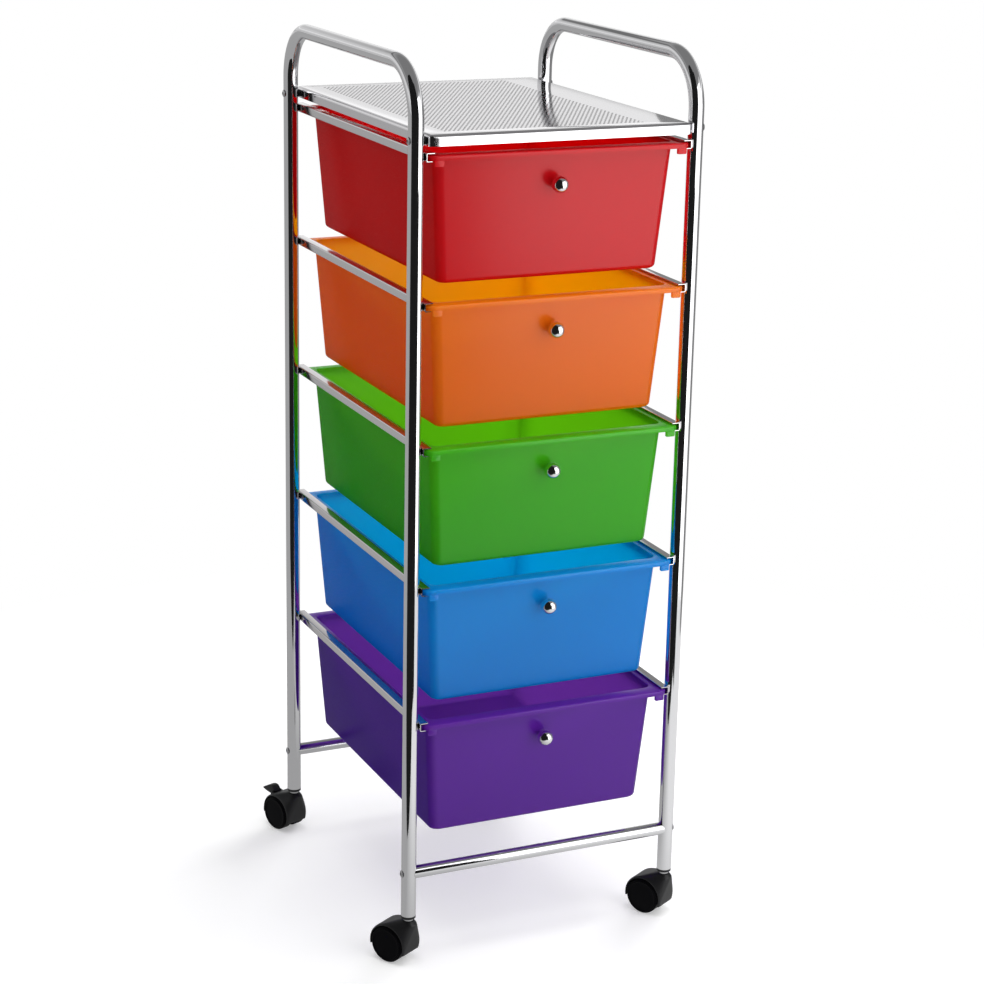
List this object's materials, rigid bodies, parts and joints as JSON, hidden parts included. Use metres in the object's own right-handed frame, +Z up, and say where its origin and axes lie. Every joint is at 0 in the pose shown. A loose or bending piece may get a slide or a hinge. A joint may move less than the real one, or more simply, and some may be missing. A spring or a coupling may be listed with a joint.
{
  "type": "drawer tower",
  "caption": "Rolling tower of tapered plastic drawers hung on rails in a bent-tube frame, with a perforated top tray, push handles and swivel casters.",
  "frame": {"origin": "on the floor, in the middle of the overall plan, casters, brake levers and knobs included", "axes": "+Z up, +Y towards the back (the drawers open towards -Y), +X towards the right as seen from the front"},
  "size_m": [0.3586, 0.4264, 0.9635],
  "materials": {
    "chrome_tube": "polished chrome plate",
    "chrome_rail": "chrome plated sheet",
    "bright_sheet": "bright plated sheet",
    "chrome_knob": "polished chrome plate",
    "plated_screw": "zinc plated",
    "black_nylon": "satin black nylon",
    "black_wheel": "satin black nylon",
    "red_plastic": "translucent satin polypropylene",
    "orange_plastic": "translucent satin polypropylene",
    "green_plastic": "translucent satin polypropylene",
    "blue_plastic": "translucent satin polypropylene",
    "purple_plastic": "translucent satin polypropylene"
  },
  "bodies": {
    "frame": {"left_side_frame": "chrome_tube", "right_side_frame": "chrome_tube", "top_tray": "bright_sheet", "front_cross_tube": "chrome_tube", "rear_cross_tube": "chrome_tube", "cross_tube_inserts": "black_nylon", "frame_screws": "plated_screw", "tray_spacers": "black_nylon", "tray_nuts": "plated_screw", "left_rail_1": "chrome_rail", "left_rail_2": "chrome_rail", "left_rail_3": "chrome_rail", "left_rail_4": "chrome_rail", "left_rail_5": "chrome_rail", "right_rail_1": "chrome_rail", "right_rail_2": "chrome_rail", "right_rail_3": "chrome_rail", "right_rail_4": "chrome_rail", "right_rail_5": "chrome_rail", "socket_front_left": "black_nylon", "socket_front_right": "black_nylon", "socket_rear_left": "black_nylon", "socket_rear_right": "black_nylon"},
    "drawer_1_body": {"drawer_1": "red_plastic", "knob_1": "chrome_knob", "knob_screw_1": "plated_screw"},
    "drawer_2_body": {"drawer_2": "orange_plastic", "knob_2": "chrome_knob", "knob_screw_2": "plated_screw"},
    "drawer_3_body": {"drawer_3": "green_plastic", "knob_3": "chrome_knob", "knob_screw_3": "plated_screw"},
    "drawer_4_body": {"drawer_4": "blue_plastic", "knob_4": "chrome_knob", "knob_screw_4": "plated_screw"},
    "drawer_5_body": {"drawer_5": "purple_plastic", "knob_5": "chrome_knob", "knob_screw_5": "plated_screw"},
    "caster_front_left": {"stem_front_left": "plated_screw", "hood_front_left": "black_nylon", "axle_front_left": "plated_screw"},
    "wheel_a_front_left_body": {"wheel_a_front_left": "black_wheel"},
    "wheel_b_front_left_body": {"wheel_b_front_left": "black_wheel"},
    "caster_front_right": {"stem_front_right": "plated_screw", "hood_front_right": "black_nylon", "axle_front_right": "plated_screw"},
    "wheel_a_front_right_body": {"wheel_a_front_right": "black_wheel"},
    "wheel_b_front_right_body": {"wheel_b_front_right": "black_wheel"},
    "caster_rear_left": {"stem_rear_left": "plated_screw", "hood_rear_left": "black_nylon", "axle_rear_left": "plated_screw"},
    "wheel_a_rear_left_body": {"wheel_a_rear_left": "black_wheel"},
    "wheel_b_rear_left_body": {"wheel_b_rear_left": "black_wheel"},
    "brake_rear_left": {"brake_lever_rear_left": "black_nylon"},
    "caster_rear_right": {"stem_rear_right": "plated_screw", "hood_rear_right": "black_nylon", "axle_rear_right": "plated_screw"},
    "wheel_a_rear_right_body": {"wheel_a_rear_right": "black_wheel"},
    "wheel_b_rear_right_body": {"wheel_b_rear_right": "black_wheel"},
    "brake_rear_right": {"brake_lever_rear_right": "black_nylon"}
  },
  "joints": [
    {"name": "drawer_1_slide", "type": "slide", "parent": "frame", "child": "drawer_1_body", "axis": [0, -1, 0], "range_m": [0, 0.3]},
    {"name": "drawer_2_slide", "type": "slide", "parent": "frame", "child": "drawer_2_body", "axis": [0, -1, 0], "range_m": [0, 0.3]},
    {"name": "drawer_3_slide", "type": "slide", "parent": "frame", "child": "drawer_3_body", "axis": [0, -1, 0], "range_m": [0, 0.3]},
    {"name": "drawer_4_slide", "type": "slide", "parent": "frame", "child": "drawer_4_body", "axis": [0, -1, 0], "range_m": [0, 0.3]},
    {"name": "drawer_5_slide", "type": "slide", "parent": "frame", "child": "drawer_5_body", "axis": [0, -1, 0], "range_m": [0, 0.3]},
    {"name": "caster_front_left_swivel", "type": "hinge", "parent": "frame", "child": "caster_front_left", "pos_m": [-0.14536, -0.19923, 0.0553], "axis": [0, 0, 1], "continuous": true},
    {"name": "wheel_a_front_left_roll", "type": "hinge", "parent": "caster_front_left", "child": "wheel_a_front_left_body", "pos_m": [-0.1545, -0.18372, 0.02], "axis": [0.8616, 0.5075, 0], "continuous": true},
    {"name": "wheel_b_front_left_roll", "type": "hinge", "parent": "caster_front_left", "child": "wheel_b_front_left_body", "pos_m": [-0.1545, -0.18372, 0.02], "axis": [0.8616, 0.5075, 0], "continuous": true},
    {"name": "caster_front_right_swivel", "type": "hinge", "parent": "frame", "child": "caster_front_right", "pos_m": [0.16364, -0.19923, 0.0553], "axis": [0, 0, 1], "continuous": true},
    {"name": "wheel_a_front_right_roll", "type": "hinge", "parent": "caster_front_right", "child": "wheel_a_front_right_body", "pos_m": [0.1545, -0.18372, 0.02], "axis": [0.8616, 0.5075, 0], "continuous": true},
    {"name": "wheel_b_front_right_roll", "type": "hinge", "parent": "caster_front_right", "child": "wheel_b_front_right_body", "pos_m": [0.1545, -0.18372, 0.02], "axis": [0.8616, 0.5075, 0], "continuous": true},
    {"name": "caster_rear_left_swivel", "type": "hinge", "parent": "frame", "child": "caster_rear_left", "pos_m": [-0.14536, 0.16077, 0.0553], "axis": [0, 0, 1], "continuous": true},
    {"name": "wheel_a_rear_left_roll", "type": "hinge", "parent": "caster_rear_left", "child": "wheel_a_rear_left_body", "pos_m": [-0.15152, 0.17769, 0.02], "axis": [0.9397, 0.342, 0], "continuous": true},
    {"name": "wheel_b_rear_left_roll", "type": "hinge", "parent": "caster_rear_left", "child": "wheel_b_rear_left_body", "pos_m": [-0.15152, 0.17769, 0.02], "axis": [0.9397, 0.342, 0], "continuous": true},
    {"name": "brake_rear_left_press", "type": "hinge", "parent": "caster_rear_left", "child": "brake_rear_left", "pos_m": [-0.15684, 0.19231, 0.03854], "axis": [-0.9397, -0.342, 0], "range_deg": [0, 20]},
    {"name": "caster_rear_right_swivel", "type": "hinge", "parent": "frame", "child": "caster_rear_right", "pos_m": [0.16364, 0.16077, 0.0553], "axis": [0, 0, 1], "continuous": true},
    {"name": "wheel_a_rear_right_roll", "type": "hinge", "parent": "caster_rear_right", "child": "wheel_a_rear_right_body", "pos_m": [0.1541, 0.17604, 0.02], "axis": [0.848, 0.5299, 0], "continuous": true},
    {"name": "wheel_b_rear_right_roll", "type": "hinge", "parent": "caster_rear_right", "child": "wheel_b_rear_right_body", "pos_m": [0.1541, 0.17604, 0.02], "axis": [0.848, 0.5299, 0], "continuous": true},
    {"name": "brake_rear_right_press", "type": "hinge", "parent": "caster_rear_right", "child": "brake_rear_right", "pos_m": [0.14585, 0.18923, 0.03854], "axis": [-0.848, -0.5299, 0], "range_deg": [0, 20]}
  ]
}
